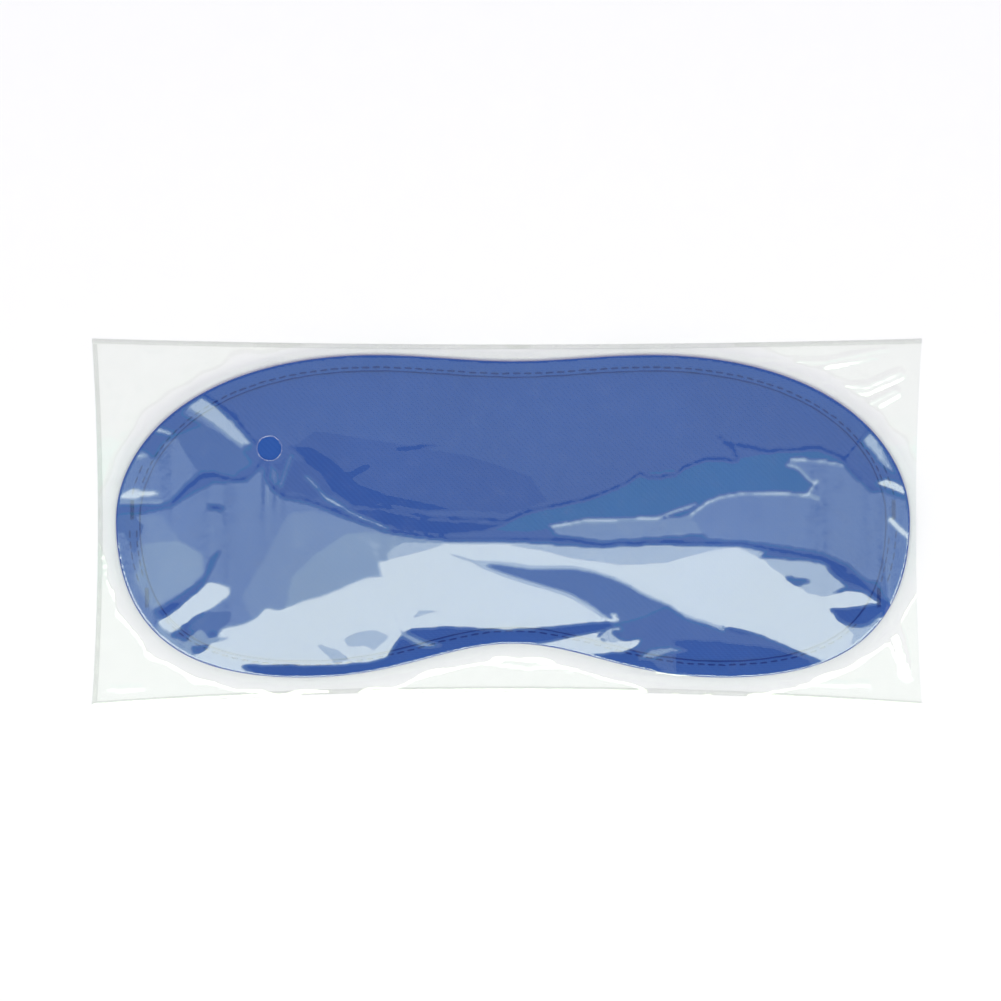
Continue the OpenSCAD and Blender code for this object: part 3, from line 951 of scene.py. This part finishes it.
# Narrow creases, which go over the zones: the range of slopes, the width and the line
CREASES = [
    (FOLD, 0.5, [(-59.5, 15.5), (-60, 11), (-58, 8), (-55, 6.2), (-51, 6), (-46, 4), (-40, 1.5), (-30, -2),
        (-24, -3), (-15, -4), (0, -4), (15, -4), (24, -5.7), (27, -5), (32, -5.3), (40, -4.8), (50, -5),
        (60, -5.3), (65, -6.5), (78, -8.8), (85, -11.5), (90, -16.5), (95, -20.6)]),
    (FOLD, 1.0, [(-83.5, 5), (-80, 8.5), (-76.5, 11.5), (-73, 12)]),
    (FOLD, 0.5, [(-73, 12), (-68, 10.5), (-65, 11), (-62.5, 13.5), (-61, 16)]),
    (FOLD, 0.5, [(0, 0.5), (5, 2.8), (12, 4.2), (20, 6), (25, 7.8), (30, 10), (33, 12.3), (36, 11.2),
        (42, 12), (44, 13.8), (50, 16), (57.5, 15.5), (57, 18), (53, 21.5)]),
    (FOLD, 0.5, [(54, 20), (60, 19), (65, 17.8), (78, 18.7), (84.5, 16), (88, 20.5), (92, 25)]),
    (FOLD, 0.5, [(84, 15.5), (87, 12), (91.5, 8)]),
    (FOLD, 0.5, [(-50, 16), (-46, 13), (-43, 8), (-38, 4.5), (-30, 3.8), (-20, 1.4), (0, 0.5)]),
    (FOLD, 0.9, [(-42, 11), (-38.5, 12), (-35, 14)]),
    (FOLD, 0.5, [(-27, 18.2), (-22, 19), (-18, 19.2)]),
    (FOLD, 0.9, [(-74, 4), (-71.5, 3.5)]),
    (FOLD, 0.5, [(-76, 32), (-72.5, 30), (-68, 26.5), (-62.5, 19.5)]),
    (GREY, 1.3, [(-14, -8), (-7, -10.2), *GAP_TOP, (54, -26.6)]),
    (GREY, 1.3, [(-7, -10.8), *GAP_FOOT, (24.5, -24)]),
    (SHINE, 0.8, TEAL_TIP),
    (SHINE, 0.8, [(70, 14.5), (73, 13.2), (76, 10), (77.5, 10.3), (75, 7), (77.5, 6)]),
    (SHINE, 0.8, TEAL_RIDGE),
    (SHINE, 0.8, [(11, -1), (20, 0.7), (37, 1), (47, 4.5)]),
    (SHINE, 0.8, [(-54, 16.5), (-56.5, 9)]),
    (GLINT, 0.6, [(-50, 11.5), (-45, 6), (-38, 2), (-30, -1.5)]),
    (GLINT, 0.7, [(95.5, 1), (100.5, -4)]),
    (GLINT, 0.8, [(95, -21), (97, -28), (99, -34), (100, -40)]),
    (GLINT, 0.8, [(63, 39.5), (80, 40), (95, 43)]),
    (GLINT, 0.9, [(80, 34), (90, 33.5), (98, 37)]),
    (GLINT, 0.8, [(90, 29), (97, 32.5)]),
    (GLINT, 0.8, [(-5, -35.2), (5, -36.5), (15, -36), (25, -37), (45, -38.5)]),
    (GLINT, 0.8, [(65, -40.3), (90, -41)]),
    (GLINT, 0.8, [(-99, -42), (-91, -42)]),
]

FILM_COLUMNS, FILM_ROWS = 460, 204
NARROWED = 0.96  # mean share of the bag's width that its drawn-in edges leave
FILM_Z = 0.12  # the film's level where it is sealed
FILM_CEILING = 5.4
FILM_GAP = 0.14  # least gap between the film and what it lies on
LEAN = 1 / (2 * LIGHT_H) + 1 / (2 * CAMERA_H)  # change of slope per millimetre of Y that keeps a reflection
ROUNDS = 120
START_Z = 4.4  # level from which the film settles over the mask
APRON = 4  # width of the strip round the mask in which the film comes down
SAG, SAG_SWING = 0.024, 0.85  # pull on the loose film in each round, and its unevenness


def film_grid():
    a = np.linspace(-1, 1, FILM_COLUMNS + 1)
    b = np.linspace(-1, 1, FILM_ROWS + 1)
    return bag_point(*np.meshgrid(a, b))


def film_floor(x, y):
    """The lowest level that the front film may take at each point, and the depth inside the mask."""
    depth = mask_depth(grid_points(x, y)).reshape(x.shape)
    window = depth - binding_width(x)
    over = np.where(window > 0, mask_crown(window) + 0.05, LIP_TOP + 0.1)
    near = np.clip(1 + depth / 1.2, 0, 1)
    rise = near * near * (3 - 2 * near)
    return FILM_Z + FILM_GAP + (over - FILM_Z) * rise, depth


def second_difference(count, free_end):
    """Strengths and shapes of the waves of a row held at its ends, or free at the last one."""
    size = count if free_end else count - 1
    matrix = 2 * np.eye(size) - np.eye(size, k=1) - np.eye(size, k=-1)
    if free_end:
        matrix[-1, -1] = 1
    return np.linalg.eigh(matrix)


class Relief:
    """Finds the heights whose slopes are nearest to wanted ones, held down along the sealed edges."""

    def __init__(self, dx, dy):
        self.dx, self.dy = dx, dy
        self.lx, self.vx = second_difference(FILM_COLUMNS, True)
        self.ly, self.vy = second_difference(FILM_ROWS, False)

    def slopes(self, z):
        return np.diff(z, axis=1) / self.dx, np.diff(z, axis=0) / self.dy

    def heights(self, gx, gy):
        """Solves for the surface in the waves that suit its held and free edges."""
        down = -(np.diff(gx, axis=1)[1:-1]) / self.dx
        last = gx[1:-1, -1:] / self.dx
        source = np.hstack([down, last]) - np.diff(gy, axis=0)[:, 1:] / self.dy
        scale = self.lx[None] / self.dx**2 + self.ly[:, None] / self.dy**2
        z = np.zeros((FILM_ROWS + 1, FILM_COLUMNS + 1))
        z[1:-1, 1:] = self.vy @ ((self.vy.T @ source @ self.vx) / scale) @ self.vx.T
        return z


def slope_ranges(x, y, depth):
    """The least and the most slope along +Y that the film may have at each grid point."""
    points = grid_points(x, y)
    between = np.where((y < LOWER_HALF)[..., None], SHADE, DARK)
    ranges = np.where((depth > 0)[..., None], between, FREE)
    for limits, outline in ZONES:
        ranges[inside(points, np.array(outline, float)).reshape(x.shape) & (depth > 0)] = limits
    for limits, width, line in CREASES:
        ranges[(distance_to(points, line) < width / 2).reshape(x.shape)] = limits
    return np.moveaxis(ranges + (LEAN * (y - GLARE_Y))[..., None], -1, 0)


def creased(x, y):
    """True near a crease, where the film keeps its fold."""
    points = grid_points(x, y)
    near = np.zeros(x.size, bool)
    for _, width, line in CREASES:
        near |= distance_to(points, line) < width + 0.5
    return near.reshape(x.shape)


def relaxed(x, y, z, free, lowest, rounds):
    """The sheet with its free places pulled smooth between the rest, and unevenly down."""
    patches = np.sin(x / 3.1 + 2 * np.sin(y / 4.7)) * np.sin(y / 2.3 + 1.7 * np.sin(x / 5.9) + 1)
    pull = SAG * (1 + SAG_SWING * patches)
    for _ in range(rounds):
        mean = z - pull
        around_each = (z[:-2, 1:-1] + z[2:, 1:-1] + z[1:-1, :-2] + z[1:-1, 2:]) / 4
        mean[1:-1, 1:-1] += around_each - z[1:-1, 1:-1]
        z = np.where(free, np.maximum(mean, lowest), z)
    return z


def sealed(z):
    """The heights with the film's sealed edges held down."""
    z[0], z[-1], z[:, 0] = FILM_Z, FILM_Z, FILM_Z
    return z


def film_heights():
    """The front film's heights in millimetres on its grid, with the grid itself."""
    x, y = film_grid()
    floor, depth = film_floor(x, y)
    relief = Relief(BAG_L / FILM_COLUMNS, BAG_W / FILM_ROWS * NARROWED)
    low, high = slope_ranges(x, y, depth)
    low, high = (low[1:] + low[:-1]) / 2, (high[1:] + high[:-1]) / 2
    lowest = np.where(depth > -APRON, floor, FILM_Z + 0.05)
    sideways = np.where((depth[:, 1:] > 1) & (np.abs(x[:, 1:]) < SIDE_END), SIDEWAYS, FREE[1])
    z = START_Z * np.clip((depth + APRON) / APRON, 0.03, 1)
    for k in range(ROUNDS):
        gx, gy = relief.slopes(sealed(z) - FILM_Z)
        z = FILM_Z + relief.heights(np.clip(gx, -sideways, sideways), np.clip(gy, low, high))
        if k > ROUNDS / 4:
            z = np.clip(z, lowest, FILM_CEILING)
    z = relaxed(x, y, z, (depth < -0.5) & ~creased(x, y), lowest, rounds=160)
    return x, y, sealed(z)


def film_mesh(x, y, z):
    """A sheet over the grid, with the round vent hole cut out."""
    points = np.column_stack([x.ravel(), y.ravel(), z.ravel()])
    index = np.arange(x.size).reshape(x.shape)
    corners = [index[:-1, :-1], index[:-1, 1:], index[1:, 1:], index[1:, :-1]]
    quads = np.stack(corners, axis=-1).reshape(-1, 4)
    gap = points[:, :2] - VENT_AT
    away = np.linalg.norm(gap, axis=1)
    cut = np.linalg.norm(points[quads, :2].mean(1) - VENT_AT, axis=1) < VENT_R
    rim = np.intersect1d(quads[cut], quads[~cut])
    points[rim, :2] = VENT_AT + gap[rim] * (VENT_R / away[rim])[:, None]
    quads = quads[~cut]
    used = np.unique(quads)
    new = np.full(len(points), -1)
    new[used] = np.arange(len(used))
    return points[used], new[quads]


def make_front_film():
    """The front film. Its grid is returned for the rim of the vent hole."""
    x, y, z = film_heights()
    obj = piece("front_film", *film_mesh(x, y, z), FILM, "bag", "bag_front_film")
    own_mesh(obj)
    return x, y, z


def make_back_film():
    """The back film, which lies on the table with a slight ripple."""
    a, b = np.linspace(-1, 1, 161), np.linspace(-1, 1, 73)
    x, y = bag_point(*np.meshgrid(a, b))
    z = 0.035 + 0.007 * np.sin(x / 9 + 2 * np.sin(y / 11)) * (1 - (x / (BAG_L / 2)) ** 8)
    obj = piece("back_film", *film_mesh(x, y, np.clip(z, 0.02, 0.06)), FILM, "bag", "bag_back_film")


def strip_rings(a, b, across, thick, rib_pitch):
    """Rings of a thin ribbed strip along the bag's edge, which runs through the points (a, b)."""
    x, y = bag_point(a, b)
    edge = np.column_stack([x, y])
    along = units(np.gradient(edge, axis=0))
    inner = np.stack([-along[:, 1], along[:, 0]], axis=1)
    rib = 0.5 + 0.5 * np.sin(2 * math.pi * run_along(edge) / rib_pitch)
    rings = []
    for p, n, top in zip(edge, inner, thick * (0.7 + 0.3 * rib)):
        shape = [(0, 0.03), (0.02, top * 0.8), (0.3, top), (0.7, top), (0.98, top * 0.8), (1, 0.03)]
        rings.append([(*(p + n * s * across), h) for s, h in shape])
    return np.array(rings)


def make_welds():
    """The two long welded edges and the fold at the closed end, each with fine ribs across it."""
    count = 700
    line = np.linspace(-1, 1, count)
    one = np.ones(count)
    edges = {
        "lower_weld": ("bag_lower_seal", line, -one, 0.35),
        "upper_weld": ("bag_upper_seal", -line, one, 0.35),
        "closed_fold": ("bag_end_fold", -one, -0.97 * line, 6.0),
    }
    for name, (node, a, b, pitch) in edges.items():
        rings = strip_rings(a, b, SEAL_W, level(node, 1), pitch)
        piece(name, *skin(rings, caps=True), WELD, "bag", node)


def make_vent_rim(x, y, z):
    """The slightly thickened, rolled edge that the punch leaves round the vent hole."""
    near = np.abs(np.hypot(x - VENT_AT[0], y - VENT_AT[1]) - VENT_R - 0.3) < 0.5
    angle = np.arctan2(y[near] - VENT_AT[1], x[near] - VENT_AT[0])
    order = np.argsort(angle)
    turn = np.linspace(-math.pi, math.pi, 72, endpoint=False)
    rise = np.interp(turn, angle[order], z[near][order], period=2 * math.pi)
    for _ in range(6):
        rise = rise / 2 + (np.roll(rise, 1) + np.roll(rise, -1)) / 4
    rings = []
    for t, h in zip(turn, rise):
        out = np.array([math.cos(t), math.sin(t)])
        section = [(VENT_R + 0.1 + 0.13 * math.cos(s), h + 0.05 + 0.05 * math.sin(s)) for s in around(8)]
        rings.append([(*(VENT_AT + out * r), level_z) for r, level_z in section])
    points, faces = skin(np.array(rings), closed=True)
    obj = piece("vent_rim", points, faces, FILM, "bag", "bag_front_film", replaces=False)
    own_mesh(obj)


add_camera()
add_table()
add_lights()

cover = make_cover()
foam = make_foam()
lining = make_lining()
make_binding()
make_lip_edge_painted_shade()
make_stitches("needle_stitches", "needle_thread")
make_stitches("bobbin_stitches", "bobbin_thread", front=False)
make_stitches("left_end_stitches", "left_end_stitching")
make_stitches("right_end_stitches", "right_end_stitching")
for end in ("left", "right"):
    for place in ("upper", "lower"):
        make_bartack(f"{end}_{place}_zigzag", f"{end}_{place}_bartack")
for strap, bow in STRAP_BOWS.items():
    make_strap(strap.replace("strap", "elastic"), strap, bow)
make_vent_rim(*make_front_film())
make_back_film()
make_welds()
